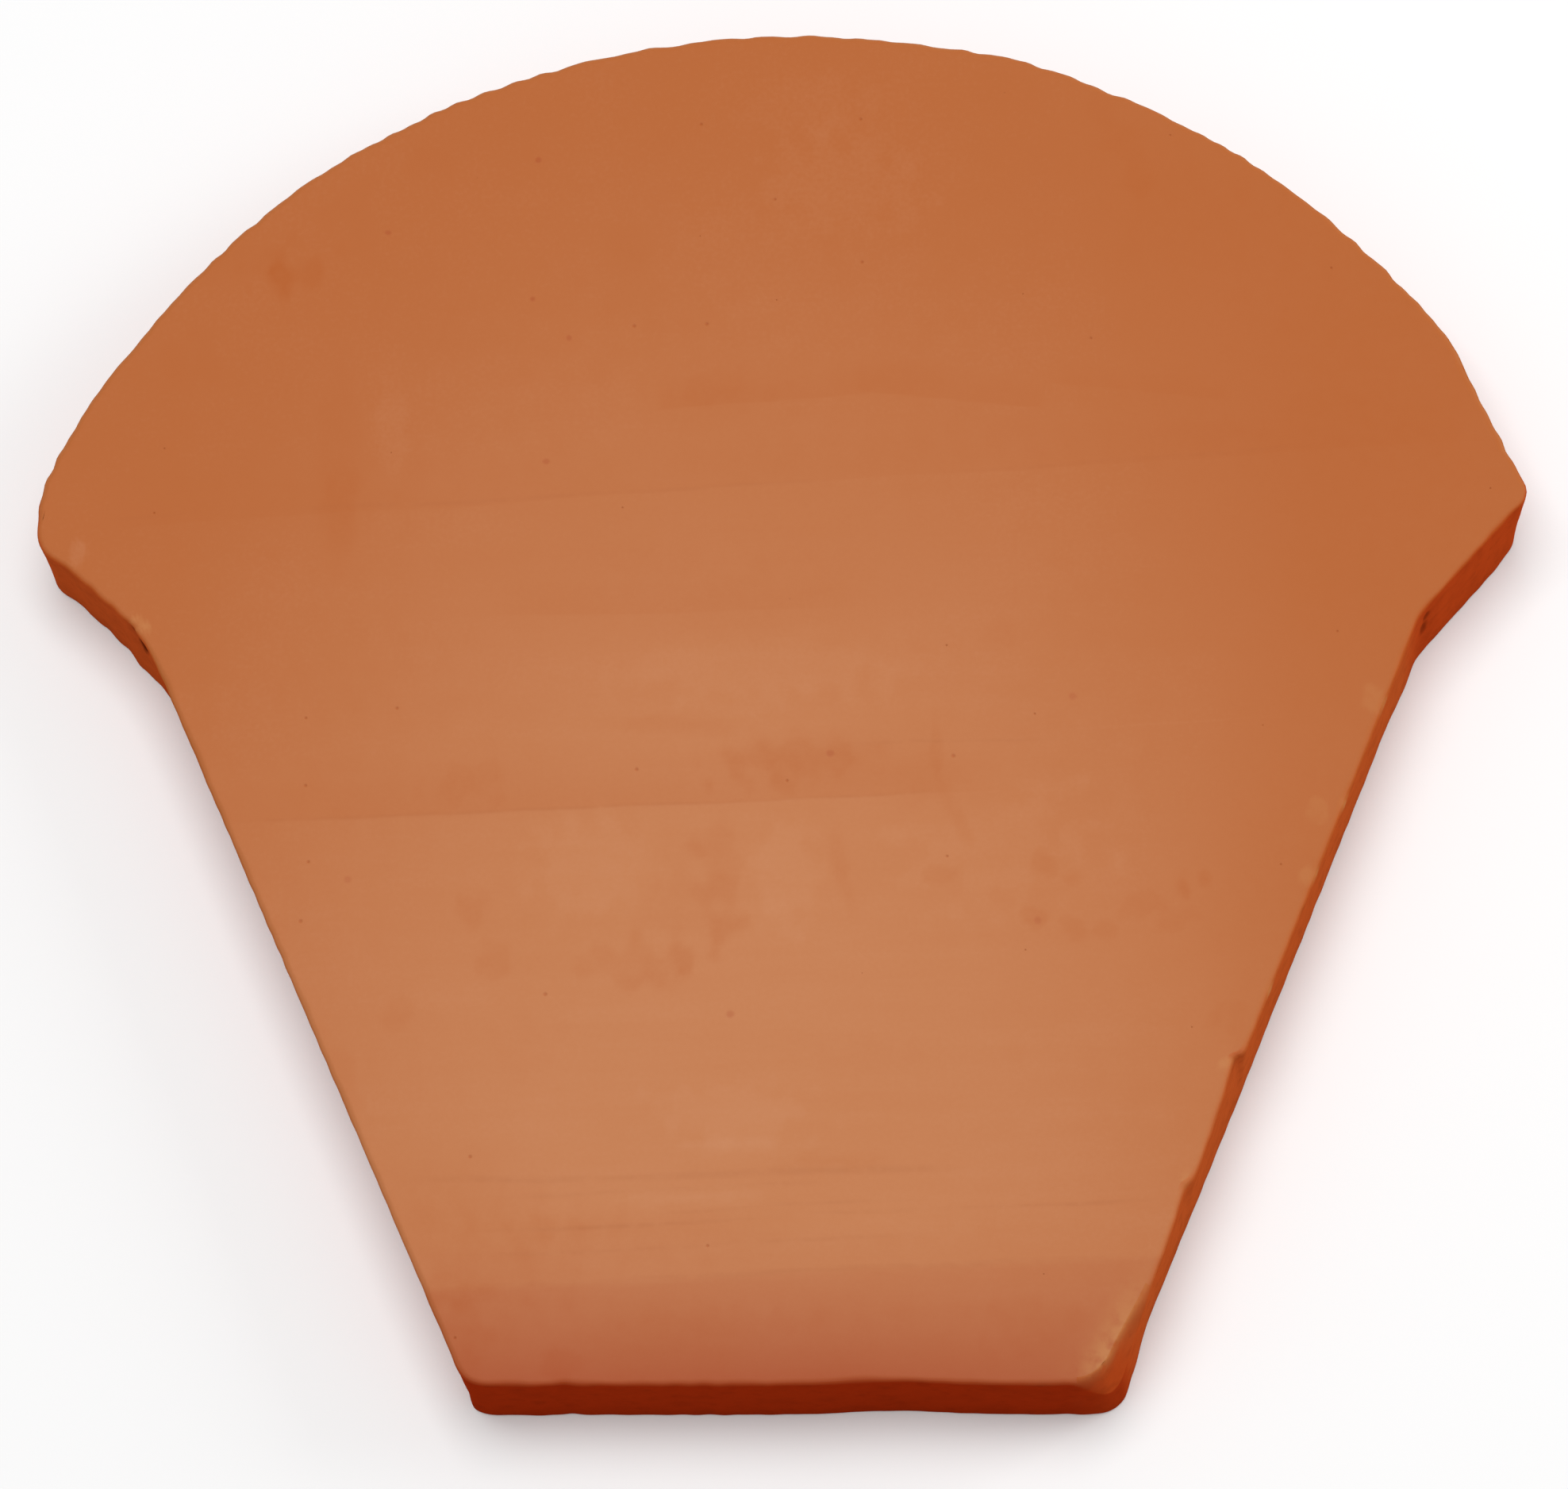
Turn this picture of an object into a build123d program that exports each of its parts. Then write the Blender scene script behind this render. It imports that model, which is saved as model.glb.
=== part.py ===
from build123d import *
import math
import os

# A flat clay roof tile: a slab with a round fan end, a sloping shoulder under each lobe
# of the fan, sides that taper in to a straight narrow end, and one rubbed corner.
# X runs across the tile, Y from the narrow end to the fan, Z up through the thickness.

# Slab
tile_length = 172.8
tile_thickness = 15.0
fan_radius = 98.2
narrow_width = 75.0
narrow_end_skew = 1.3
narrow_corner_radius = 4.0

# Lobe tips, measured down from the crown of the fan, with their rounding in plan
left_tip_drop = 63.8
left_tip_radius = 8.5
right_tip_drop = 64.1
right_tip_radius = 2.5

# Straight knife cut that takes the right lobe a little inside the fan's circle
right_trim_depth = 1.7
right_trim_rise = 21.0
right_trim_blend_radius = 30.0

# Shoulders, measured in and down from the lobe tip, and the soft inner corner below each
left_shoulder_in = 14.9
left_shoulder_down = 14.0
left_notch_radius = 12.0
right_shoulder_in = 13.9
right_shoulder_down = 15.4
right_notch_radius = 4.0

# Face falling away towards the narrow end
nose_fall_run = 13.0
nose_fall_drop = 1.0

# Rubbed corner at the right of the narrow end
worn_run_along_side = 8.0
worn_run_along_end = 7.0
worn_depth = 5.0

# Softened edges round the face and round the underside
face_edge_radius = 0.8
underside_edge_radius = 0.5

# Points of the outline before rounding, with the right end of the narrow edge on the X axis
fan_centre_y = tile_length - fan_radius


def across_fan(radius, y):
    """Half width of a circle about the fan's centre at height y."""
    return math.sqrt(radius**2 - (y - fan_centre_y) ** 2)


crown = (0, tile_length)
left_tip_y = tile_length - left_tip_drop
left_tip = (-across_fan(fan_radius, left_tip_y), left_tip_y)
right_tip_y = tile_length - right_tip_drop
right_tip = (across_fan(fan_radius - right_trim_depth, right_tip_y), right_tip_y)
trim_start_y = right_tip_y + right_trim_rise
trim_start = (across_fan(fan_radius, trim_start_y), trim_start_y)
left_notch = (left_tip[0] + left_shoulder_in, left_tip[1] - left_shoulder_down)
right_notch = (right_tip[0] - right_shoulder_in, right_tip[1] - right_shoulder_down)
left_corner = (-narrow_width / 2, narrow_end_skew)
right_corner = (narrow_width / 2, 0)

# Outline in plan: fan, trimmed right lobe, shoulders, tapered sides and narrow end
with BuildSketch() as plan:
    with BuildLine():
        ThreePointArc(left_tip, crown, trim_start)
        Polyline(trim_start, right_tip, right_notch, right_corner, left_corner, left_notch, left_tip)
    make_face()
    rounding = [
        (trim_start, right_trim_blend_radius),
        (left_tip, left_tip_radius),
        (right_tip, right_tip_radius),
        (left_notch, left_notch_radius),
        (right_notch, right_notch_radius),
        (left_corner, narrow_corner_radius),
        (right_corner, narrow_corner_radius),
    ]
    for point, radius in rounding:
        fillet(plan.vertices().sort_by_distance(point)[0], radius)

slab = extrude(plan.sketch, tile_thickness)

# Side profile: level face that curves down over the last stretch to the narrow end
nose_top = (0, tile_thickness - nose_fall_drop)
fall_start = (nose_fall_run, tile_thickness)
with BuildSketch(Plane.YZ) as profile:
    with BuildLine():
        Polyline(nose_top, (0, 0), (tile_length, 0), (tile_length, tile_thickness), fall_start)
        TangentArc(fall_start, nose_top, tangent=(-1, 0))
    make_face()

tile = slab & extrude(profile.sketch, 2 * fan_radius, both=True)

# Rim of the underside
underside = tile.faces().sort_by(Axis.Z)[0]
tile = fillet(underside.edges(), underside_edge_radius)

# Rim of the level face and of its fall, without the line where the one runs into the other
level_face = tile.faces().filter_by(Axis.Z).sort_by(Axis.Z)[-1]
fall_middle = (0, nose_fall_run / 2, tile_thickness)
fall_face = tile.faces().filter_by(GeomType.CYLINDER).sort_by_distance(fall_middle)[0]
crease = level_face.edges().sort_by(Axis.Y)[0]
rim = (level_face.edges() + fall_face.edges()).filter_by(lambda edge: not edge.is_same(crease))
tile = fillet(rim, face_edge_radius)

# Rubbed corner: a sloping plane that takes the tip off the right corner of the narrow end
side_share = worn_run_along_side / math.dist(right_corner, right_notch)
worn_side = Vector(
    right_corner[0] + (right_notch[0] - right_corner[0]) * side_share,
    right_notch[1] * side_share,
    tile_thickness,
)
worn_end = Vector(right_corner[0] - worn_run_along_end, 0, tile_thickness)
worn_low = Vector(right_corner[0], 0, tile_thickness - worn_depth)
outward = (worn_low - worn_end).cross(worn_side - worn_end)
tile = split(tile, Plane(worn_end, z_dir=outward), keep=Keep.BOTTOM)

# Origin at the middle of the box, on the underside
box = tile.bounding_box()
tile = Pos(-box.center().X, -box.center().Y, -box.min.Z) * tile

os.makedirs("parts", exist_ok=True)
export_step(tile, "parts/roof_tile.step")
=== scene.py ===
# %% [markdown]
# # A clay roof tile
# One slab of soft clay was cut to a fan with two shoulders, dragged smooth on its face, dried and
# fired. The CAD part gives its true size and outline. This lesson makes the fired surface around
# that outline: a face that isn't quite level, edges that wander as a hand-held wire does, one
# rubbed corner, and a clay that is pale where the tool pressed it and deep red where it was cut.
# Part of the paleness of the lower face is a painted sheen, and part of the dark red at the narrow
# end is painted shade.

# %% Load the imported tile
import math

import bpy
import numpy as np
from mathutils import Matrix, Vector


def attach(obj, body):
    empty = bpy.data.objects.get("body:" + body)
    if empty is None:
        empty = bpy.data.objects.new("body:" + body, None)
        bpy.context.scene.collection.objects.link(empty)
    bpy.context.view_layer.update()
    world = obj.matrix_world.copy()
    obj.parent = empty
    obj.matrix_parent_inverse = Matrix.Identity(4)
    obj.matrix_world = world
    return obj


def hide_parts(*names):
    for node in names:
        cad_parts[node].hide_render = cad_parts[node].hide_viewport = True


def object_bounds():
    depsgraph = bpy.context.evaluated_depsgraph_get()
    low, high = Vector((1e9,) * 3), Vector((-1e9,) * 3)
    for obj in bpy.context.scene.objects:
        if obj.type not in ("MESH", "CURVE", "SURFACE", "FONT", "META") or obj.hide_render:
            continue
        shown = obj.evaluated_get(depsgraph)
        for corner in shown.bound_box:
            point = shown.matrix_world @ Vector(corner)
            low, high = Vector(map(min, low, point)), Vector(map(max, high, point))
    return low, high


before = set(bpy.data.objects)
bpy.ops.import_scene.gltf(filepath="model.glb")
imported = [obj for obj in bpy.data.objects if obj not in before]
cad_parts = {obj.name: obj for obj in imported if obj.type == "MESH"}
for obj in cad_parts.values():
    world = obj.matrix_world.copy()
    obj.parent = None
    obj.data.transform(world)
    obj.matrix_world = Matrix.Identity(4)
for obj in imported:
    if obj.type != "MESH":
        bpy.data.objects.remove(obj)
cad_low, cad_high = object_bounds()
thickness = cad_high.z - cad_low.z
print("CAD box in metres", [round(b - a, 4) for a, b in zip(cad_low, cad_high)])

# %% [markdown]
# ## The outline
# The tile's outline could be drawn again here, but then two drawings would have to agree. The CAD
# mesh already holds it: every vertex at the foot of its upright wall lies on the outline. Seen
# from the origin the outline never doubles back, so sorting those vertices by their angle puts
# them in order. A closed line can be blurred through its Fourier waves, which takes the small
# flats of the CAD mesh out of the round fan.

# %% Read the outline from the foot of the CAD wall
underside_rim = 0.0005
same_height = 1e-5
lap_count = 6000
blur_reach = 0.0008

cad_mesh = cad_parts["roof_tile"].data
cad_points = np.empty(len(cad_mesh.vertices) * 3, np.float32)
cad_mesh.vertices.foreach_get("co", cad_points)
cad_points = cad_points.reshape(-1, 3).astype(float)
at_foot = np.abs(cad_points[:, 2] - underside_rim) < same_height
foot = np.unique(cad_points[at_foot, :2].round(6), axis=0)
foot = foot[np.argsort(np.arctan2(foot[:, 1], foot[:, 0]))]


def evenly(line, count):
    """count points at equal steps of length along a line of straight runs.

    The first two columns are x and y and give the length. Other columns are carried along."""
    steps = np.linalg.norm(np.diff(line[:, :2], axis=0), axis=1)
    run = np.concatenate([[0], np.cumsum(steps)])
    stops = np.linspace(0, run[-1], count)
    return np.stack([np.interp(stops, run, column) for column in line.T], axis=1)


def blurred(loop, reach):
    """A closed line blurred by a bell curve: each Fourier wave shrinks with its pace squared."""
    step = np.linalg.norm(loop[1] - loop[0])
    pace = np.fft.rfftfreq(len(loop), step)
    keep = np.exp(-2 * (np.pi * pace * reach) ** 2)
    return np.fft.irfft(np.fft.rfft(loop, axis=0) * keep[:, None], len(loop), axis=0)


lap = evenly(np.vstack([foot, foot[:1]]), lap_count + 1)[:-1]
lap = blurred(lap, blur_reach)
lap = np.roll(lap, -np.argmin(lap[:, 0] + lap[:, 1]), axis=0)
print(len(foot), "CAD points on the outline, resampled to", len(lap))

# %% [markdown]
# ## Which stretch of the outline is which
# The fan, the shoulders, the tapered sides and the narrow end were each cut and handled in their
# own way. Soft masks along the outline say where each stretch is. They are made from the outline's
# own landmarks, so they stay right if the part is made longer or wider.

# %% Name the stretches
right_corner_at = np.argmax(lap[:, 0] - lap[:, 1])
right_tip_at = np.argmax(lap[:, 0])
left_tip_at = np.argmin(lap[:, 0])
fan_foot = lap[right_tip_at, 1]
narrow_y = lap[:, 1].min()
blend = 0.006
taper_top = 0.008
narrow_start, narrow_blend = 0.0045, 0.0025


def rise(value, start, length=blend):
    """0 up to start, then a straight rise to 1 over the length."""
    return np.clip((value - start) / length, 0, 1)


def soft(value):
    """A smooth step: 0 below 0, 1 above 1, and between them three squares less two cubes."""
    share = np.clip(value, 0, 1)
    return share * share * (3 - 2 * share)


on_fan = rise(lap[:, 1], fan_foot)
below_shoulders = rise(-lap[:, 1], -taper_top)
on_narrow = rise(-lap[:, 1], -(narrow_y + narrow_start), narrow_blend)
on_right_side = (lap[:, 0] > 0) & (lap[:, 1] < fan_foot)
on_left_side = (lap[:, 0] < 0) & (lap[:, 1] < fan_foot)
on_taper = below_shoulders * (1 - on_narrow)
on_left_taper = on_left_side * on_taper
on_right_taper = on_right_side * on_taper
on_left_shoulder = on_left_side * (1 - below_shoulders)
on_right_shoulder = on_right_side * (1 - below_shoulders)
print("fan starts at y", round(fan_foot * 1000, 1), "mm")
print("narrow end lies at y", round(narrow_y * 1000, 1), "mm")

# %% [markdown]
# ## A hand-cut edge
# A wire or knife guided by hand wanders by a fraction of a millimetre, and most on the round fan,
# where it is steered all the time. A sum of cosines with whole numbers of turns per lap and seeded
# phases gives a wandering line that closes on itself. On the right side the knife slipped inwards
# twice and came back to its line within a few millimetres. Bell curves along the outline add the
# small bites where the edge crumbled and the slight bulges where the cut swung out.

# %% Let the cut wander
swing, swing_turns, swing_seed = 0.0005, 210, 5
swing_off_fan = 0.25
wave_heights = (0.4, 1.0)
left_taper_in, right_taper_in = 0.0003, 0.0001
shoulder_in = 0.0002
jog_y = np.array([-0.0477, -0.0630])
jog_depth = np.array([0.00110, 0.0007])
jog_sharpness = 0.00040
jog_run = np.array([0.0060, 0.0055])
# Each bite: middle x and y, half width, depth. A depth below 0 is a bulge.
bites = np.array([
    (-0.0890, 0.0200, 0.0030, -0.00080),
    (0.0898, 0.0220, 0.0020, -0.00030),
    (0.0300, 0.0825, 0.0080, -0.00055),
    (0.0440, 0.0770, 0.0090, -0.00020),
    (0.0570, 0.0690, 0.0090, -0.00015),
    (0.0830, 0.0420, 0.0060, -0.00025),
    (-0.0440, 0.0760, 0.0100, -0.00030),
    (-0.0590, 0.0660, 0.0080, -0.00040),
    (-0.0760, 0.0480, 0.0050, 0.00025),
    (-0.0895, 0.0245, 0.0055, 0.00050),
    (0.0125, -0.0860, 0.0075, 0.00045),
    (-0.0255, -0.0855, 0.0010, 0.00018),
    (-0.0772, 0.0100, 0.0010, 0.00040),
    (-0.0800, 0.0125, 0.0007, 0.00022),
    (-0.0828, 0.0148, 0.0008, 0.00018),
    (-0.0856, 0.0176, 0.0006, 0.00016),
])


def wander(turns, seed):
    """A closed random line from -1/2 to 1/2, as a sum of cosines with seeded heights and phases.

    The cosines have 1, 2, 3 and so on waves per lap, up to the number of turns."""
    chance = np.random.default_rng(seed)
    wave = np.arange(1, turns + 1)
    height = chance.uniform(*wave_heights, turns)
    phase = chance.uniform(0, 2 * np.pi, turns)
    angle = np.linspace(0, 2 * np.pi, lap_count, endpoint=False)
    line = (height * np.cos(np.outer(angle, wave) + phase)).sum(axis=1)
    return (line - line.min()) / np.ptp(line) - 0.5


def outward(loop):
    """Unit normals of an anticlockwise closed line: its direction of travel turned to the right."""
    ahead = np.roll(loop, -1, axis=0) - np.roll(loop, 1, axis=0)
    ahead /= np.linalg.norm(ahead, axis=1, keepdims=True)
    return np.stack([ahead[:, 1], -ahead[:, 0]], axis=1)


def bells(table):
    """The sum of a table's bell curves at every point of the outline.

    A bell is its height times e to the minus square of the distance over the half width."""
    away = np.linalg.norm(lap[:, None] - table[:, :2], axis=2)
    return (table[:, 3] * np.exp(-((away / table[:, 2]) ** 2))).sum(axis=1)


normal = outward(lap)
past_jog = jog_y - lap[:, 1, None]
slip_in = 0.5 + 0.5 * np.tanh(past_jog / jog_sharpness)
come_back = np.exp(-np.maximum(past_jog, 0) / jog_run)
jogs = jog_depth * slip_in * come_back
fading_cut = jogs.sum(axis=1) * on_right_side + shoulder_in * on_right_shoulder
steered = swing_off_fan + (1 - swing_off_fan) * on_fan
cut_in = swing * steered * wander(swing_turns, swing_seed) + fading_cut + bells(bites)
cut_in = cut_in + left_taper_in * on_left_taper + right_taper_in * on_right_taper
cut = np.clip(lap - normal * cut_in[:, None], cad_low[:2], cad_high[:2])
print("the cut wanders by up to", round(float(np.abs(cut_in).max()) * 1000, 2), "mm")

# %% [markdown]
# ## How round the rim is
# The rim between face and wall was softened by a wet finger and then by handling. It is rounder
# along the fan and the narrow end, and crumbs of clay broke out of it on the right side. At the
# right corner of the narrow end it has been rubbed to a broad slope. All of that is one rounding
# whose reach inwards and downwards changes along the outline.

# %% Give the rim its changing size
rim_radius = 0.00050
fan_rim_extra, taper_rim_extra, narrow_rim_extra = 0.00020, 0.00010, 0.00005
rim_variation, rim_turns, rim_seed = 0.00035, 90, 8
crumb_y = np.array([-0.0040, -0.0165, -0.0254, -0.0395])
crumb_reach = 0.0009
crumb_depth = 0.0002
rubbed_up_side, rubbed_along_end = 0.0125, 0.0055
rubbed_in, rubbed_down = 0.0019, 0.0070

crumbs = np.exp(-(((lap[:, 1, None] - crumb_y) / crumb_reach) ** 2)).sum(axis=1) * on_right_side
rim = rim_radius + fan_rim_extra * on_fan + taper_rim_extra * below_shoulders
rim = rim + narrow_rim_extra * on_narrow
rim = rim + rim_variation * (0.5 + wander(rim_turns, rim_seed)) + crumb_depth * crumbs
lap_step = np.linalg.norm(lap[1] - lap[0])
from_corner = (np.arange(lap_count) - right_corner_at) * lap_step
rubbed = soft(1 - from_corner / rubbed_up_side) * soft(1 + from_corner / rubbed_along_end)
rim_down = rim + (rubbed_down - rim) * rubbed
rim = rim + (rubbed_in - rim) * rubbed
print("rim reaches in from", round(rim.min() * 1000, 2), "to", round(rim.max() * 1000, 2), "mm")

# %% [markdown]
# ## How the wall stands
# The wall isn't quite upright. The lower corner of the right lobe came out rounder than the upper
# one, and the left side leans in a little towards the underside, so that from above its wall can't
# be seen. The jogs of the knife fade out downwards, and the rubbed corner keeps a fuller foot.
# Short stretches at the left lobe and in the inner corners stand a little further in or out. These
# are small offsets that grow from nothing at the face to their full size at the underside.

# %% Work out how the wall leans
lobe_round_reach = 0.0027
lobe_bottom = 0.009
left_lean, right_lean = 0.0009, 0.0002
right_lean_start, right_lean_run = 0.050, 0.025
# Each move of the foot: middle x and y, half width, way outwards.
foot_moves = np.array([
    (-0.0875, 0.0187, 0.0025, -0.0006),
    (-0.0835, 0.0148, 0.0040, -0.0003),
    (-0.0785, 0.0094, 0.0014, 0.0006),
    (0.0757, 0.0030, 0.0035, 0.0003),
    (0.0408, -0.0815, 0.0035, 0.0006),
    (0.0385, -0.0850, 0.0025, 0.0004),
])

on_right_lobe = rise(lap[:, 1], lobe_bottom) * (lap[:, 0] > 0)
rounder = (blurred(lap, lobe_round_reach) - lap) * on_right_lobe[:, None]
low_down = rise(-lap[:, 1], right_lean_start, right_lean_run)
leaning = left_lean * on_left_taper + right_lean * on_right_taper * low_down
drift = rounder + normal * (fading_cut + bells(foot_moves) - leaning)[:, None]
furthest = float(np.linalg.norm(drift, axis=1).max())
print("the underside's outline moves by up to", round(furthest * 1000, 2), "mm")

# %% [markdown]
# ## The face as a patch between four edges
# The tile has four natural corners: the two ends of the narrow edge and the two lobe tips. Between
# them run four edges: narrow end, right side, fan and left side. A Coons patch fills four edges
# with a smooth grid: it adds the blend from bottom to top to the blend from left to right, and
# takes the blend of the four corners away once, because both blends hold it. What is known along
# the outline, such as the size of the rim or how soon the wall's colour starts, is carried along
# with the points of the edges. At the jogs that colour starts sooner.

# %% Spread a grid between the four edges
rows, columns = 220, 320
wall_seen_from, wall_hidden_from = 0.20, 0.75
wall_sooner, jog_step_reach = 1.0, 0.0007

hidden_wall = np.maximum(on_fan, on_left_taper)
jog_step = np.exp(-((past_jog / jog_step_reach) ** 2)).sum(axis=1) * on_right_side
wall_start = wall_seen_from + (wall_hidden_from - wall_seen_from) * hidden_wall
track = {
    "plan": cut, "normal": normal, "rim": rim, "rim_down": rim_down, "rubbed": rubbed,
    "drift": drift, "fan": on_fan, "crumbs": crumbs, "narrow": on_narrow,
    "right_taper": on_right_taper, "left_shoulder": on_left_shoulder,
    "wall_from": wall_start - wall_sooner * jog_step,
}
carried = np.column_stack(list(track.values()))
carried = np.vstack([carried, carried[:1]])
narrow = evenly(carried[: right_corner_at + 1], columns)
right = evenly(carried[right_corner_at : right_tip_at + 1], rows)
fan = evenly(carried[right_tip_at : left_tip_at + 1], columns)
left = evenly(carried[left_tip_at:], rows)
edge = np.vstack([narrow[:-1], right[:-1], fan[:-1], left[:-1]])
widths = [value.reshape(lap_count, -1).shape[1] for value in track.values()]
at_edge = dict(zip(track, np.split(edge, np.cumsum(widths)[:-1], axis=1)))


def inside_rim(line):
    """Where the flat of the face ends: the outline moved inwards by the rim's reach."""
    return line[:, :2] - line[:, 2:4] * line[:, 4:5]


def coons_patch(bottom, top, left_side, right_side):
    """Bottom-to-top blend plus left-to-right blend, less the blend of the four corners."""
    u = np.linspace(0, 1, len(bottom))[None, :, None]
    v = np.linspace(0, 1, len(left_side))[:, None, None]
    upward = (1 - v) * bottom[None] + v * top[None]
    across = (1 - u) * left_side[:, None] + u * right_side[:, None]
    low = (1 - u) * bottom[0] + u * bottom[-1]
    high = (1 - u) * top[0] + u * top[-1]
    return upward + across - ((1 - v) * low + v * high)


face_plan = coons_patch(
    inside_rim(narrow), inside_rim(fan)[::-1], inside_rim(left)[::-1], inside_rim(right)
)
print("face grid", face_plan.shape[:2], "and", len(edge), "points round its edge")

# %% [markdown]
# ## The height of the face
# The face was dragged smooth with a board, so it is level only to about a tenth of a millimetre,
# and it falls away over the last stretch to the narrow end. Height is a function of place: the
# thickness, less a parabola for the fall, less a slow unevenness made of a few flat waves with
# seeded headings. Real relief like this catches the light, which paint can't do.

# %% Work out the height of the face
fall_run = 0.013
fall_drop = 0.0010
uneven_depth = 0.00012
uneven_most = 1.5
uneven_waves, uneven_seed = 16, 21
uneven_lengths = (0.022, 0.070)


def unevenness(x, y, seed, lengths=uneven_lengths):
    """From 0 to about 1: the mean of flat cosine waves with seeded headings, lengths and phases."""
    chance = np.random.default_rng(seed)
    heading = chance.uniform(0, 2 * np.pi, uneven_waves)
    pace = 2 * np.pi / chance.uniform(*lengths, uneven_waves)
    phase = chance.uniform(0, 2 * np.pi, uneven_waves)
    along = x[..., None] * np.cos(heading) + y[..., None] * np.sin(heading)
    return 0.5 + np.cos(along * pace + phase).sum(axis=-1) / (2 * math.sqrt(2 * uneven_waves))


def face_height(x, y):
    """Thickness, less the fall's parabola near the narrow end, less the slow unevenness."""
    fall = np.clip(1 - (y - narrow_y) / fall_run, 0, 1) ** 2
    dips = np.clip(unevenness(x, y, uneven_seed), 0, uneven_most)
    return thickness - fall_drop * fall - uneven_depth * dips


face_z = face_height(*np.moveaxis(face_plan, -1, 0))
face = np.concatenate([face_plan, face_z[..., None]], axis=-1)
print("face height from", round(face_z.min() * 1000, 2), "to", round(face_z.max() * 1000, 2), "mm")

# %% [markdown]
# ## Rim, wall and underside
# Below the face the section is always the same three stretches: a quarter turn over the rim, the
# cut wall, and a small quarter turn under to the flat underside. Carrying that section along the
# outline gives one ring of points for each step of the section. Where the corner is rubbed, a
# power above 1 on sine and cosine flattens the quarter turn towards a straight slope. At each
# inner corner below a lobe the wire tore small pits into the wall. Their table also says how dark
# each one is inside, which the material reads later.

# %% Carry the section round the outline
rim_steps, wall_steps, foot_steps = 8, 12, 3
rubbed_flatness = 0.70
wall_uneven_depth = 0.00018
wall_uneven_pace, wall_uneven_seed = 4.0, 33
drift_growth = 0.9
# Each pit, in millimetres: middle x, y and z, reach across, along and up, then its painted shade.
pits = np.array([
    (-77.6, 9.3, 12.8, 1.3, 1.3, 1.5, 0.8),
    (-77.0, 8.6, 10.6, 1.4, 1.4, 2.8, 0.85),
    (77.6, 8.7, 10.6, 1.0, 1.0, 1.6, 0.5),
    (77.4, 8.3, 7.6, 1.0, 1.0, 2.8, 0.5),
])
pit_depth = 0.0004

edge_top = face_height(*inside_rim(edge).T)
turn = np.linspace(0, np.pi / 2, rim_steps + 1)[1:, None]
power = 1 + rubbed_flatness * at_edge["rubbed"].T
rim_in = at_edge["rim"].T * (1 - np.sin(turn) ** power)
rim_z = edge_top - at_edge["rim_down"].T * (1 - np.clip(np.cos(turn), 0, 1) ** power)

down = np.linspace(0, 1, wall_steps + 1)[1:, None]
wall_z = rim_z[-1] * (1 - down) + underside_rim * down
edge_x, edge_y = at_edge["plan"].T
wave_x, wave_y = wall_uneven_pace * (edge_x + wall_z), wall_uneven_pace * (edge_y - wall_z)
wall_waves = unevenness(wave_x, wave_y, wall_uneven_seed)
wall_place = np.stack(np.broadcast_arrays(edge_x, edge_y, wall_z), axis=-1)[:, :, None] * 1000
torn = np.exp(-((((wall_place - pits[:, :3]) / pits[:, 3:6]) ** 2).sum(axis=-1))).max(axis=-1)
wall_in = wall_uneven_depth * np.sin(np.pi * down) * wall_waves + pit_depth * torn * (down < 1)

under = np.linspace(0, np.pi / 2, foot_steps + 1)[1:, None]
foot_in = underside_rim * (1 - np.cos(under)) + 0 * edge_x
foot_z = underside_rim * (1 - np.sin(under)) + 0 * edge_x

ring_in = np.vstack([rim_in, wall_in, foot_in])
ring_z = np.vstack([rim_z, wall_z, foot_z])
ring_depth = np.vstack([0 * turn, down, np.ones_like(under)]) ** drift_growth
ring_plan = at_edge["plan"] - at_edge["normal"] * ring_in[..., None]
ring_plan = ring_plan + at_edge["drift"] * ring_depth[..., None]
rings = np.concatenate([ring_plan, ring_z[..., None]], axis=-1)
print(len(rings), "rings of", len(edge), "points below the face")

# %% [markdown]
# ## One closed mesh
# The face grid, the rings and one flat face for the underside make a single closed mesh, because
# the tile is a single lump of clay. The rings follow the border of the grid, so no edge is doubled.
# A last clip to the CAD part's box keeps the fired tile to its size.

# %% Build the tile's mesh
grid = np.arange(rows * columns).reshape(rows, columns)
face_corners = [grid[:-1, :-1], grid[:-1, 1:], grid[1:, 1:], grid[1:, :-1]]
face_quads = np.stack(face_corners, axis=-1).reshape(-1, 4)
border = np.concatenate([grid[0, :-1], grid[:-1, -1], grid[-1, :0:-1], grid[:0:-1, 0]])
below_face = np.arange(len(rings) * len(edge)).reshape(-1, len(edge))
hoops = np.vstack([border, rows * columns + below_face])
after = np.roll(hoops, -1, axis=1)
wall_quads = np.stack([hoops[:-1], hoops[1:], after[1:], after[:-1]], axis=-1).reshape(-1, 4)
flat_underside = hoops[-1, ::-1]
points = np.clip(np.vstack([face.reshape(-1, 3), rings.reshape(-1, 3)]), cad_low, cad_high)

mesh = bpy.data.meshes.new("fired_tile")
all_faces = [*face_quads.tolist(), *wall_quads.tolist(), flat_underside.tolist()]
mesh.from_pydata(points.tolist(), [], all_faces)
mesh.polygons.foreach_set("use_smooth", np.ones(len(mesh.polygons), bool))
tile = bpy.data.objects.new("fired_tile", mesh)
bpy.context.scene.collection.objects.link(tile)
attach(tile, "root")
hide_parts("roof_tile")
mesh.calc_loop_triangles()
print("tile mesh:", len(mesh.vertices), "vertices,", len(mesh.loop_triangles), "triangles")
print("mesh is valid:", not mesh.validate())
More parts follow.
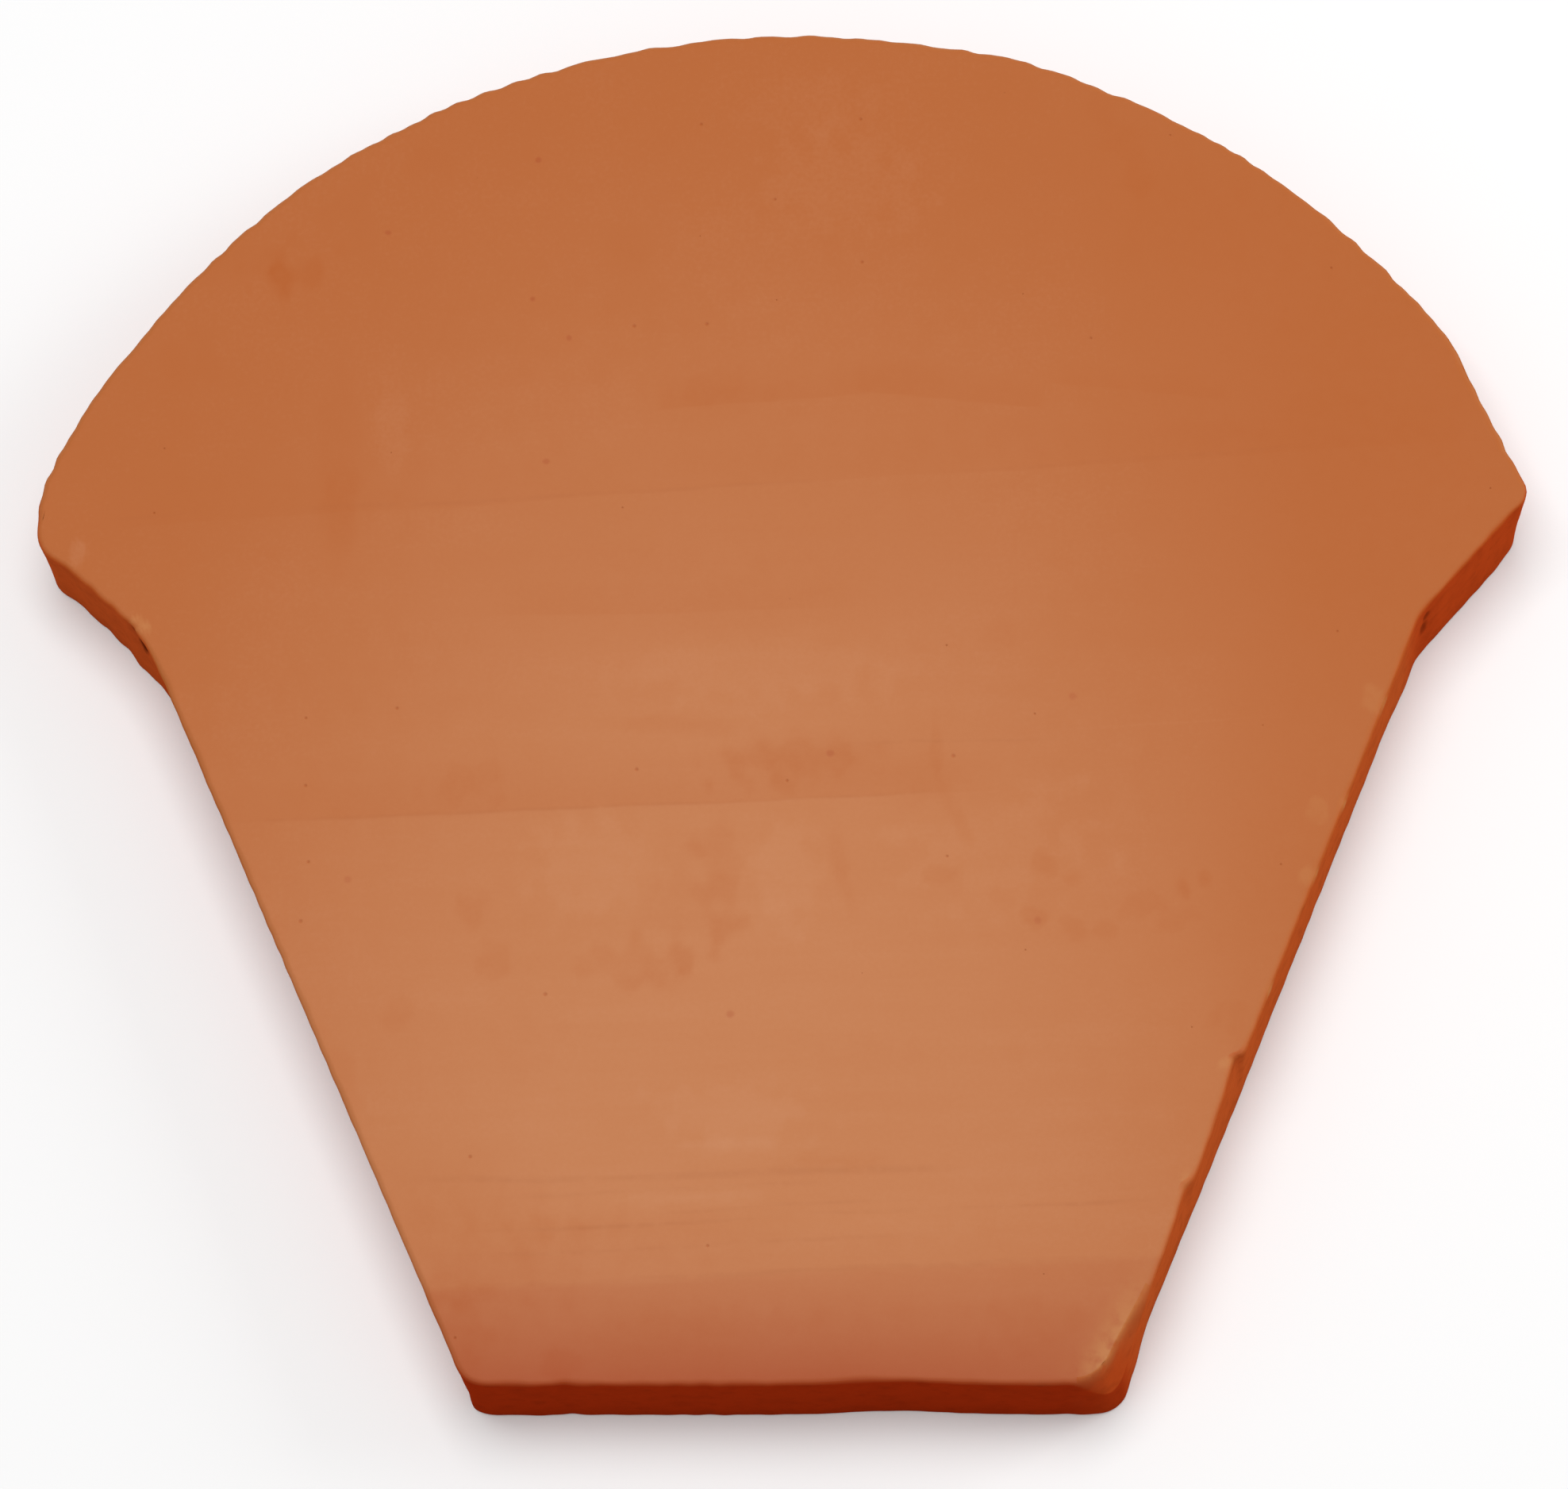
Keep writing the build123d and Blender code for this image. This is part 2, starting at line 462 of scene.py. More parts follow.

# %% [markdown]
# ## Stains, blooms, painted sheen and painted shade
# Water marks, kiln smoke and the pale bloom of salts all have the same form: an oval with a ragged
# soft edge. A few are so wide that they only shift the tone of a region. The widest is partly a
# pale bloom and partly a painted sheen on the lower half of the face, and the two wide ones on the
# right side are painted shade. They could be nodes in the material, but dozens of them would make
# it slow. The mesh is finer than any stain, so numpy works out their sum at each vertex and the
# material reads one value. Each mark is one row of a table, so each can be moved on its own. The
# narrow end fired redder and is also darkened there with painted shade: that tail of the face
# starts at a sloping line, grows to the end, and has a faint haze above the line.

# %% Tables of stains, painted sheen and shade, pale patches and chips, in millimetres
# Each row: middle x and y, reach across and up, turn, raggedness, strength.
# The wide bloom is partly a pale bloom and partly a painted sheen that lightens the lower face.
wide_bloom = [(-6.0, -55.0, 95.0, 140.0, 0.0, 0.03, 1.0)]
# The first two wide stains are painted shade on the right side of the face. The last darkens the
# face near the narrow end, partly as painted shade.
wide_stains = [
    (84.0, 40.0, 48.0, 70.0, 0.0, 0.1, 0.20), (70.0, -35.0, 26.0, 40.0, 0.3, 0.2, 0.20),
    (-38.0, -70.0, 22.0, 15.0, 0.0, 0.3, 0.17), (-8.0, 14.0, 42.0, 13.0, 0.0, 0.3, 0.10),
    (-15.0, -67.5, 26.0, 5.0, 0.0, 0.3, 0.14), (4.0, -9.5, 16.0, 5.0, 0.0, 0.4, 0.12),
    (20.0, -14.0, 10.0, 6.0, 0.0, 0.4, 0.08), (50.0, 62.0, 24.0, 14.0, -0.6, 0.3, 0.08),
    (-6.0, -83.0, 52.0, 12.0, 0.0, 0.3, 0.12),
]
stains = [
    (-59.9, 56.0, 4.6, 3.2, 0.1, 1.4, 0.32), (-60.6, 55.8, 2.4, 1.9, 0.3, 1.4, 0.36),
    (-51.9, 63.1, 3.4, 5.6, 0.0, 0.9, 0.07), (-66.0, 57.0, 4.0, 3.0, 0.4, 1.0, 0.06),
    (-42.2, 70.0, 3.6, 2.8, 0.0, 0.9, 0.09), (-71.8, 43.6, 5.0, 4.0, 0.0, 0.9, 0.09),
    (-53.1, 29.0, 3.6, 17.0, 0.0, 0.5, 0.12), (-53.0, 24.6, 3.0, 7.0, 0.0, 0.5, 0.12),
    (-6.9, 38.7, 8.0, 3.2, 0.0, 0.9, 0.15), (15.0, 39.9, 7.4, 2.8, 0.0, 0.9, 0.09),
    (-17.9, 57.4, 4.4, 4.6, 0.0, 0.5, 0.08), (43.2, 69.5, 2.6, 10.0, 0.46, 0.6, 0.12),
    (83.7, 38.1, 1.4, 2.8, 0.3, 0.6, 0.16), (52.1, 31.2, 10.0, 2.2, 0.04, 0.7, 0.08),
    (-36.9, -11.7, 7.0, 2.8, 0.0, 0.9, 0.16), (-12.0, -5.2, 10.5, 1.5, -0.08, 0.6, 0.12),
    (1.1, -9.9, 10.5, 3.6, 0.0, 0.8, 0.16), (26.6, 5.7, 2.6, 2.6, 0.0, 0.8, 0.09),
    (-7.2, -24.5, 3.2, 10.5, 0.05, 0.6, 0.16), (-11.5, -27.5, 7.0, 8.5, 0.3, 0.9, 0.10),
    (-16.5, -34.5, 8.0, 3.4, 0.15, 0.9, 0.15), (-14.5, -37.0, 5.0, 1.6, 0.0, 0.9, 0.09),
    (6.9, -21.5, 1.5, 4.2, 0.15, 0.5, 0.12), (8.0, -26.5, 1.1, 4.6, 0.30, 0.4, 0.09),
    (19.4, -24.6, 2.6, 1.5, 0.0, 0.6, 0.19), (18.7, -9.0, 0.9, 5.8, 0.02, 0.3, 0.14),
    (20.9, -17.0, 1.2, 5.2, 0.45, 0.4, 0.14), (31.4, -23.8, 2.6, 1.7, -0.4, 1.0, 0.24),
    (34.3, -25.2, 1.8, 1.4, 0.0, 1.0, 0.18), (30.2, -30.2, 2.0, 1.8, 0.0, 0.8, 0.26),
    (34.4, -32.0, 2.8, 1.7, -0.2, 1.2, 0.20), (37.9, -32.0, 1.8, 1.6, 0.0, 1.0, 0.18),
    (42.8, -28.6, 3.2, 2.6, 0.0, 1.2, 0.18), (47.5, -26.6, 1.2, 2.2, 0.0, 0.8, 0.34),
    (50.0, -26.0, 1.1, 1.3, 0.0, 0.6, 0.24), (46.2, -30.4, 3.4, 1.6, 0.0, 1.0, 0.13),
    (-36.3, -27.8, 2.8, 2.6, 0.0, 0.7, 0.19), (-34.0, -34.2, 2.9, 2.7, 0.0, 1.0, 0.17),
    (-45.2, -40.4, 2.5, 2.5, 0.0, 0.9, 0.15), (-51.5, -48.4, 2.0, 7.5, 0.3, 0.8, 0.14),
    (-29.7, -45.0, 5.5, 5.4, 0.0, 0.9, 0.06), (10.0, -47.2, 9.0, 2.8, 0.0, 0.9, 0.06),
    (53.2, -44.4, 3.2, 3.6, 0.3, 0.9, 0.15), (5.4, -59.4, 7.0, 1.3, 0.0, 0.6, 0.16),
    (-36.9, -74.7, 7.0, 1.9, 0.03, 0.6, 0.12), (-37.8, -79.2, 5.5, 6.5, 0.0, 0.7, 0.12),
    (-25.8, -82.8, 2.8, 2.5, 0.0, 0.9, 0.20), (-8.0, -79.0, 10.0, 3.0, 0.0, 1.2, 0.06),
    (28.0, -79.5, 8.0, 3.5, 0.0, 1.2, 0.10),
]
milky_patches = [
    (3.8, 76.7, 11.0, 5.0, 0.0, 0.8, 0.02), (8.2, 65.6, 13.0, 9.0, 0.0, 0.6, 0.035),
    (-2.0, 2.3, 22.0, 5.6, 0.0, 0.5, 0.05), (-4.6, -2.0, 9.0, 2.2, 0.0, 0.6, 0.04),
    (-22.3, -22.5, 9.5, 8.0, 0.0, 0.6, 0.08), (0.8, -24.0, 5.0, 9.0, 0.0, 0.6, 0.09),
    (24.8, -20.5, 13.0, 10.0, 0.0, 0.8, 0.05), (-6.1, -53.3, 11.0, 4.6, 0.0, 0.9, 0.09),
    (-4.9, -57.2, 9.0, 1.1, 0.0, 0.5, 0.10), (-84.8, 18.5, 1.3, 2.8, -0.3, 0.5, 0.12),
    (-46.9, 34.0, 3.0, 9.0, 0.0, 0.3, 0.045), (-10.0, -63.6, 13.0, 0.9, 0.0, 0.4, 0.09),
    (-44.0, -71.5, 5.0, 2.6, 0.0, 0.6, 0.10), (0.0, -68.5, 26.0, 2.4, 0.02, 0.6, 0.05),
]
chips = [
    (-76.9, 9.5, 1.5, 1.0, -0.6, 0.8, 0.55), (70.8, -3.4, 1.7, 2.6, -0.3, 1.3, 0.26),
    (63.4, -17.6, 1.4, 2.2, -0.3, 1.3, 0.22), (62.0, -25.6, 1.4, 1.8, -0.3, 1.3, 0.28),
    (52.0, -48.1, 1.2, 0.9, 0.3, 0.9, 0.55), (46.7, -62.3, 1.1, 1.6, 0.3, 1.0, 0.45),
]

# %% Work out the stains, the painted sheen and the painted shade on every vertex
stain_core, bloom_core = 0.45, 0.15
stain_share = 0.8
ragged_lengths, ragged_seed = (2.2, 8.0), 55
# The tail makes the face redder and darker towards the narrow end: partly redder clay and partly
# painted shade where the face falls away from the lamps.
tail_line, tail_slope = -72.4, 0.028
tail_step, tail_growth, tail_power = 0.13, 0.48, 1.4
tail_edge = 1.0
tail_haze, haze_run = 0.12, 7.0
haze_end, haze_wide = 60.0, 90.0
less_from, less_run, less_growth = 5.0, 30.0, 0.28
chip_height = 0.0138

x_mm, y_mm = points[:, 0] * 1000, points[:, 1] * 1000
raggedness = unevenness(x_mm, y_mm, ragged_seed, ragged_lengths)


def ovals(table, core=stain_core):
    """The sum of a table's ovals at every vertex.

    How far out a vertex lies, in units of the oval's reach, is roughened by a shared unevenness.
    The oval is full inside its core and falls off by a smooth step to nothing at its reach."""
    x, y, wide, tall, turned, ragged, strength = np.array(table).T
    aside, up = x_mm[:, None] - x, y_mm[:, None] - y
    along = (aside * np.cos(turned) + up * np.sin(turned)) / wide
    athwart = (up * np.cos(turned) - aside * np.sin(turned)) / tall
    span = np.hypot(along, athwart) + ragged * (raggedness[:, None] - 0.5)
    return (strength * soft((1 - span) / (1 - core))).sum(axis=1)


bloom = ovals(wide_bloom, bloom_core)
stain, milky, chipped = (ovals(table) for table in (stains, milky_patches, chips))
stain = stain_share * stain + ovals(wide_stains, bloom_core)
chipped = chipped * (points[:, 2] > chip_height)
past_tail = tail_line + tail_slope * x_mm - y_mm
tail_run = np.clip(past_tail / (tail_line - narrow_y * 1000), 0, 1) ** tail_power
tail = tail_step * soft(past_tail / tail_edge)
tail = tail + tail_growth * tail_run * (1 - less_growth * rise(x_mm, less_from, less_run))
tail = tail + tail_haze * soft(1 + past_tail / haze_run) * rise(-x_mm, -haze_end, haze_wide)
print("stains", len(stains), "pale patches", len(milky_patches), "chips", len(chips))

# %% [markdown]
# ## Marking the finishes on the mesh
# Each vertex also carries how far it belongs to the cut wall, to a worn pale edge and to the
# underside. The wall isn't one red: the narrow end, which faces the viewer away from the lamps, is
# painted darkest as painted shade, and the right side and the left shoulder are painted lighter as
# painted light. At the rubbed corner that painted dark end fades. The worn edge there is a bell
# curve of the distance to the line where the face ends. The material reads these marks, so the
# finishes change exactly where the shape does.

# %% Mark wall, worn edges and underside on the vertices
fan_edge_share, rubbed_edge_share = 0.6, 0.95
worn_inwards, worn_outwards = 2.0, 0.45
near_corner, least_rubbed = 0.022, 0.01
rubbed_wall_from, rubbed_wall_to = 0.0, 0.125
# Shares of the painted light: on the rubbed slope and on the left shoulder. The end wall keeps this
# share of its painted shade at the rubbed corner.
slope_light, left_light = 0.3, 0.6
end_wall_kept = 0.75


def marked(on_rim, on_wall, on_foot):
    """One value per vertex: 0 on the face, then the values given for each ring below it."""
    parts = ((on_rim, rim_z), (on_wall, wall_z), (on_foot, foot_z))
    below = [np.broadcast_to(value, ring.shape).ravel() for value, ring in parts]
    return np.concatenate([np.zeros(rows * columns), *below])


wall_from, edge_end, edge_rubbed = (at_edge[name].T for name in ("wall_from", "narrow", "rubbed"))
turned_share = turn / (np.pi / 2)
pale_share = (fan_edge_share * at_edge["fan"] + at_edge["crumbs"]).T
pale_edge = marked(np.sin(turn) ** 2 * pale_share, 0.0, 0.0)

worn_line = inside_rim(edge)
worn_stretch = edge_rubbed[0] > least_rubbed
near = np.linalg.norm(points[:, :2] - lap[right_corner_at], axis=1) < near_corner
gap = np.linalg.norm(points[near, None, :2] - worn_line[worn_stretch], axis=2) * 1000
nearest = gap.argmin(axis=1)
worn_reach = np.where(np.arange(len(points)) < rows * columns, worn_inwards, worn_outwards)
worn = np.zeros(len(points))
how_rubbed = np.sqrt(edge_rubbed[0][worn_stretch][nearest])
worn[near] = np.exp(-((gap.min(axis=1) / worn_reach[near]) ** 2)) * how_rubbed

wall_on_rim = np.clip((turned_share - wall_from) / (1 - wall_from), 0, 1)
wall_on_slope = soft((turned_share - rubbed_wall_from) / (rubbed_wall_to - rubbed_wall_from))
wall_on_rim = wall_on_rim + (wall_on_slope - wall_on_rim) * edge_rubbed
# Painted light on the walls of the right taper, the left shoulder and the rubbed slope, and painted
# shade on the wall of the narrow end.
light_wall = np.maximum(at_edge["right_taper"].T, left_light * at_edge["left_shoulder"].T)
light_wall = light_wall + (slope_light - light_wall) * edge_rubbed
dark_end = edge_end * (1 - (1 - end_wall_kept) * edge_rubbed)
marks = {
    "wall": marked(wall_on_rim, 1.0, 1.0),
    "end_wall": marked(edge_end * (1 - edge_rubbed), dark_end, dark_end),
    "light_wall": marked(light_wall, light_wall, light_wall),
    "pale_edge": np.maximum(np.maximum(pale_edge, chipped), rubbed_edge_share * worn),
    "underside": marked(0.0, 0.0, 1.0),
    "bloom": bloom,
    "stain": stain,
    "tail": tail,
    "milky": milky,
}
for name, values in marks.items():
    mesh.attributes.new(name, "FLOAT", "POINT").data.foreach_set("value", values.astype(np.float32))
print("marks:", {name: round(float(values.mean()), 3) for name, values in marks.items()})

# %% [markdown]
# ## Small helpers for shader nodes
# Materials are trees of nodes. A few helpers keep the tree readable in code: one feeds a socket
# with a number or a link, one does a sum, one makes a soft step, and one makes a cloudy noise of a
# given size. Places are in millimetres from here on, so that a size in a material can be read as a
# size on the tile.

# %% Helpers for nodes
def feed(tree, socket, value):
    """Links another node's output to a socket, or sets the socket to a plain value."""
    if isinstance(value, bpy.types.NodeSocket):
        tree.links.new(value, socket)
    else:
        socket.default_value = value


def calc(tree, operation, *values):
    """One Math node: operation on one, two or three values."""
    made = tree.nodes.new("ShaderNodeMath")
    made.operation = operation
    for socket, value in zip(made.inputs, values):
        feed(tree, socket, value)
    return made.outputs[0]


def vector_calc(tree, operation, *values, result=0):
    """One Vector Math node. Its result is the vector, or the value for a length."""
    made = tree.nodes.new("ShaderNodeVectorMath")
    made.operation = operation
    for socket, value in zip(made.inputs, values):
        feed(tree, socket, value)
    return made.outputs[result]


def sum_of(tree, values):
    """Adds up a list of values."""
    total = values[0]
    for value in values[1:]:
        total = calc(tree, "ADD", total, value)
    return total


def soft_step(tree, value, start, end):
    """0 before start and 1 after end with a smooth rise between. It falls if start is above end."""
    made = tree.nodes.new("ShaderNodeMapRange")
    made.interpolation_type = "SMOOTHSTEP"
    for label, given in (("Value", value), ("From Min", start), ("From Max", end)):
        feed(tree, made.inputs[label], given)
    return made.outputs["Result"]


def cloud(tree, place, size, detail=2.0):
    """Noise from 0 to 1 whose lumps are about that many millimetres across."""
    made = tree.nodes.new("ShaderNodeTexNoise")
    feed(tree, made.inputs["Vector"], place)
    made.inputs["Scale"].default_value = 1 / size
    made.inputs["Detail"].default_value = detail
    return made.outputs["Fac"]


def mixed(tree, share, first, second):
    """First colour where share is 0, second where it is 1.

    A Mix node has sockets for every kind of data. Those for colours are 6 and 7, and output 2."""
    made = tree.nodes.new("ShaderNodeMix")
    made.data_type = "RGBA"
    made.clamp_factor = True
    feed(tree, made.inputs[0], share)
    feed(tree, made.inputs[6], first)
    feed(tree, made.inputs[7], second)
    return made.outputs[2]


def paint(red, green, blue):
    """A colour as a picture shows it, 0 to 255, turned into the linear values that light uses.

    This is the sRGB curve: a straight line near black, and a power of 2.4 above it."""
    shown = np.array([red, green, blue]) / 255
    linear = np.where(shown <= 0.04045, shown / 12.92, ((shown + 0.055) / 1.055) ** 2.4)
    return (*linear.tolist(), 1.0)


# %% Helpers for groups
def new_group(name, inputs, outputs):
    """A shader node group with named sockets. Gives the tree, its inputs and its outputs."""
    tree = bpy.data.node_groups.new(name, "ShaderNodeTree")
    for label, kind in inputs:
        tree.interface.new_socket(label, in_out="INPUT", socket_type="NodeSocket" + kind)
    for label, kind in outputs:
        tree.interface.new_socket(label, in_out="OUTPUT", socket_type="NodeSocket" + kind)
    return tree, tree.nodes.new("NodeGroupInput").outputs, tree.nodes.new("NodeGroupOutput").inputs


def placed(tree, group, **values):
    """Puts a group into a tree with its own values. Underscores in names stand for spaces."""
    made = tree.nodes.new("ShaderNodeGroup")
    made.node_tree = group
    for label, value in values.items():
        feed(tree, made.inputs[label.replace("_", " ")], value)
    return made.outputs


print("helpers ready")

# %% [markdown]
# ## Grain of the fired clay
# Fine sieved clay fires to a very even colour with a faint speckle, and a few pinholes where a
# grain of grit or lime fell out. Noise in two sizes gives the speckle. A two-dimensional Voronoi
# pattern scatters the pinholes: each cell has one, but only the cells with a low random colour
# keep theirs.

# %% Group: clay grain
speck_size, lump_size, lump_detail = 0.6, 4.7, 3.0
pinhole_cell = 9.5
pinhole_radius = 0.36
pinhole_share = 0.22
speck_height, lump_height, pinhole_depth = 0.006, 0.006, -0.08

grain, given, out = new_group(
    "clay grain", [("Place", "Vector")],
    [("Speckle", "Float"), ("Lumps", "Float"), ("Pinhole", "Float"), ("Height", "Float")],
)
speck = cloud(grain, given["Place"], speck_size, lump_detail)
lump = cloud(grain, given["Place"], lump_size, lump_detail)
cells = grain.nodes.new("ShaderNodeTexVoronoi")
cells.voronoi_dimensions = "2D"
cells.inputs["Scale"].default_value = 1 / pinhole_cell
feed(grain, cells.inputs["Vector"], given["Place"])
chance = grain.nodes.new("ShaderNodeSeparateColor")
feed(grain, chance.inputs[0], cells.outputs["Color"])
reach = calc(grain, "MULTIPLY", chance.outputs[1], pinhole_radius / pinhole_cell)
hole = soft_step(grain, cells.outputs["Distance"], reach, 0.0)
hole = calc(grain, "MULTIPLY", hole, calc(grain, "LESS_THAN", chance.outputs[0], pinhole_share))
feed(grain, out["Speckle"], speck)
feed(grain, out["Lumps"], lump)
feed(grain, out["Pinhole"], hole)
bumps = calc(grain, "MULTIPLY_ADD", speck, speck_height, calc(grain, "MULTIPLY", lump, lump_height))
feed(grain, out["Height"], calc(grain, "MULTIPLY_ADD", hole, pinhole_depth, bumps))
print("group", grain.name, "with", len(grain.nodes), "nodes")

# %% [markdown]
# ## Drag lines and tide marks
# A board pulled over wet clay leaves fine lines that run nearly level across the tile, and drying
# slip leaves a tide mark, sharp on one side and soft on the other. Both are a soft ridge about a
# sloping line, with its own width above and below, cut off softly at both ends. They are too thin
# for the mesh, so they are nodes. The group is placed once for each line that shows.

# %% Group: drag line
line_values = ("Wobble", "Middle", "Slope", "Above", "Below", "From", "To", "End Fade")
drag, given, out = new_group(
    "drag line",
    [("Place", "Vector"), *((label, "Float") for label in line_values)],
    [("Mask", "Float")],
)
at = drag.nodes.new("ShaderNodeSeparateXYZ")
feed(drag, at.inputs[0], given["Place"])
base_line = calc(drag, "ADD", given["Middle"], given["Wobble"])
middle = calc(drag, "MULTIPLY_ADD", at.outputs["X"], given["Slope"], base_line)
off = calc(drag, "SUBTRACT", at.outputs["Y"], middle)
upper = soft_step(drag, off, given["Above"], 0.0)
lower = soft_step(drag, calc(drag, "MULTIPLY", off, -1.0), given["Below"], 0.0)
full_from = calc(drag, "ADD", given["From"], given["End Fade"])
full_to = calc(drag, "SUBTRACT", given["To"], given["End Fade"])
start = soft_step(drag, at.outputs["X"], given["From"], full_from)
stop = soft_step(drag, at.outputs["X"], given["To"], full_to)
ridge = calc(drag, "MULTIPLY", upper, lower)
feed(drag, out["Mask"], calc(drag, "MULTIPLY", ridge, calc(drag, "MULTIPLY", start, stop)))
print("group", drag.name, "with", len(drag.nodes), "nodes")

# %% [markdown]
# ## Small spots
# Dark pores on the face and the dark insides of the torn pits, both painted shade, are small round
# places, finer than the mesh. The group measures how far a place lies from the spot's middle, in
# units of its reach along each axis, roughens that with a noise and fades it out.

# %% Group: spot
spot_core, spot_ragged = 0.3, 0.9

spot, given, out = new_group(
    "spot",
    [("Place", "Vector"), ("Lumps", "Float"), ("Middle", "Vector"), ("Reach", "Vector")],
    [("Mask", "Float")],
)
aside = vector_calc(spot, "SUBTRACT", given["Place"], given["Middle"])
relative = vector_calc(spot, "DIVIDE", aside, given["Reach"])
span = vector_calc(spot, "LENGTH", relative, result=1)
least_span = calc(spot, "SUBTRACT", span, spot_ragged / 2)
rough_span = calc(spot, "MULTIPLY_ADD", given["Lumps"], spot_ragged, least_span)
feed(spot, out["Mask"], soft_step(spot, rough_span, 1.0, spot_core))
print("group", spot.name, "with", len(spot.nodes), "nodes")

# %% [markdown]
# ## The colour of the clay, as one group
# The face and the cut wall are the same clay and must meet without a seam, so one group works out
# the colour, roughness and relief for both. On the face the board pressed fine pale clay to the
# surface and a bloom dried on it. The face is paler on the lower half, partly from that bloom and
# partly as a painted sheen. Near the narrow end the face turns red, and darker as painted shade,
# and the drag lines are brown. The wall shows the deep red body, darker with painted shade at the
# narrow end, which faces the viewer, and lighter with painted light on the right side and the left
# shoulder. Pores and pits are darkened with painted shade. The worn edges are a pale ochre.

# %% Group: fired clay, with its colours and shared noises
warm_face = paint(182, 100, 47)
# Partly a paler clay and partly a painted sheen, for the lower face.
pale_face = paint(195, 124, 78)
deep_face = paint(176, 86, 22)
# Redder clay with painted shade in it, for the narrow end of the face.
tail_face = paint(157, 47, 2)
line_brown = paint(150, 76, 38)
milky_face = paint(214, 156, 118)
side_wall = paint(190, 70, 25)
# The wall's colour with painted light in it, for the right taper and the left shoulder.
light_wall_face = paint(197, 88, 38)
# The wall's colour with painted shade in it, for the narrow end's wall that faces the viewer.
end_wall = paint(163, 46, 13)
worn_ochre = paint(206, 146, 88)
# Painted shade for the pinholes and the pores.
iron_speck = paint(160, 54, 12)
# The torn wall's dark brown, which is also the painted shade inside the pits.
torn_brown = paint(74, 20, 6)
plain_underside = paint(172, 88, 46)

fine_lump_size, large_lump_size = 1.8, 19.0
streak_size, streak_detail, streak_stretch = 2.4, 4.0, 0.09


def socket_name(mark):
    """The name of a mark's socket: its words apart and with capitals."""
    return mark.replace("_", " ").title()


clay, given, out = new_group(
    "fired clay",
    [("Place", "Vector"), *((socket_name(mark), "Float") for mark in marks)],
    [("Color", "Color"), ("Roughness", "Float"), ("Height", "Float")],
)
place = given["Place"]
grains = placed(clay, grain, Place=place)
lumps = grains["Lumps"]
fine_lumps = cloud(clay, place, fine_lump_size, lump_detail)
large_lumps = cloud(clay, place, large_lump_size, lump_detail)
stretch = clay.nodes.new("ShaderNodeMapping")
feed(clay, stretch.inputs["Vector"], place)
stretch.inputs["Scale"].default_value = (streak_stretch, 1.0, 1.0)
streaks = cloud(clay, stretch.outputs[0], streak_size, streak_detail)
print("group", clay.name, "started, with", len(given), "inputs")

# %% [markdown]
# ## Where the lines and specks are
# A board touches wet clay here and there, so its lines are broken up by two noises and wobble a
# little. Each line and each speck is one row of a table and one copy of its group, and a helper
# adds up the copies of a table.

# %% Helpers for lines and spots
line_wobble = 1.2

wobble = calc(clay, "MULTIPLY_ADD", large_lumps, line_wobble, -line_wobble / 2)


def dragged(lines):
    """The summed masks of a table of drag lines, each times its own strength."""
    return sum_of(clay, [
        calc(clay, "MULTIPLY", strength, placed(
            clay, drag, Place=place, Wobble=wobble, Middle=middle, Slope=slope,
            Above=above, Below=below, From=first, To=last, End_Fade=fade,
        )["Mask"])
        for middle, slope, above, below, first, last, fade, strength in lines
    ])


def spotted(spots, noise):
    """The summed masks of a table of spots, each times its own strength."""
    return sum_of(clay, [
        calc(clay, "MULTIPLY", strength, placed(
            clay, spot, Place=place, Lumps=noise, Middle=(x, y, z), Reach=(wide, deep, tall),
        )["Mask"])
        for x, y, z, wide, deep, tall, strength in spots
    ])


print("helpers for lines and spots ready")

# %% Lines and dark pores on the face, in millimetres
# Each line: y in the tile's middle, slope, fade above and below, first and last x, fade at the ends
# and strength.
drag_lines = [
    (25.8, 0.030, 0.5, 0.5, -84.0, 12.0, 8.0, 0.07),
    (25.6, 0.060, 0.5, 0.5, 0.0, 88.0, 14.0, 0.05),
    (-14.6, 0.022, 0.5, 0.5, -67.0, 22.0, 10.0, 0.08),
    (-7.8, 0.000, 0.5, 0.5, 6.0, 36.0, 9.0, 0.12),
    (-60.7, 0.004, 0.8, 0.8, -46.0, 26.0, 12.0, 0.12),
    (-62.2, 0.018, 0.5, 0.5, -40.0, 6.0, 10.0, 0.13),
    (-66.0, 0.030, 0.5, 0.5, -38.0, 47.0, 12.0, 0.13),
    (-64.7, 0.030, 0.4, 0.4, -20.0, 47.0, 12.0, 0.10),
    (-69.0, 0.025, 0.5, 0.5, -40.0, 20.0, 12.0, 0.08),
    (-72.6, 0.028, 0.5, 0.9, -43.0, 46.0, 16.0, 0.10),
]
tide_marks = [
    (37.0, 0.065, 5.0, 0.4, -16.0, 13.0, 5.0, 0.14),
    (39.2, -0.120, 5.0, 0.4, 9.0, 33.0, 2.0, 0.14),
    (42.7, -0.125, 3.5, 0.4, 32.0, 56.0, 3.0, 0.10),
    (26.0, 0.045, 9.0, 0.4, -84.0, 88.0, 10.0, 0.08),
    (9.8, 0.000, 5.0, 0.4, -36.0, 10.0, 8.0, 0.09),
    (-14.5, 0.022, 9.0, 0.4, -72.0, 34.0, 26.0, 0.20),
]
pale_lines = [
    (-8.0, 0.042, 0.3, 0.3, 30.0, 66.0, 8.0, 0.03),
]
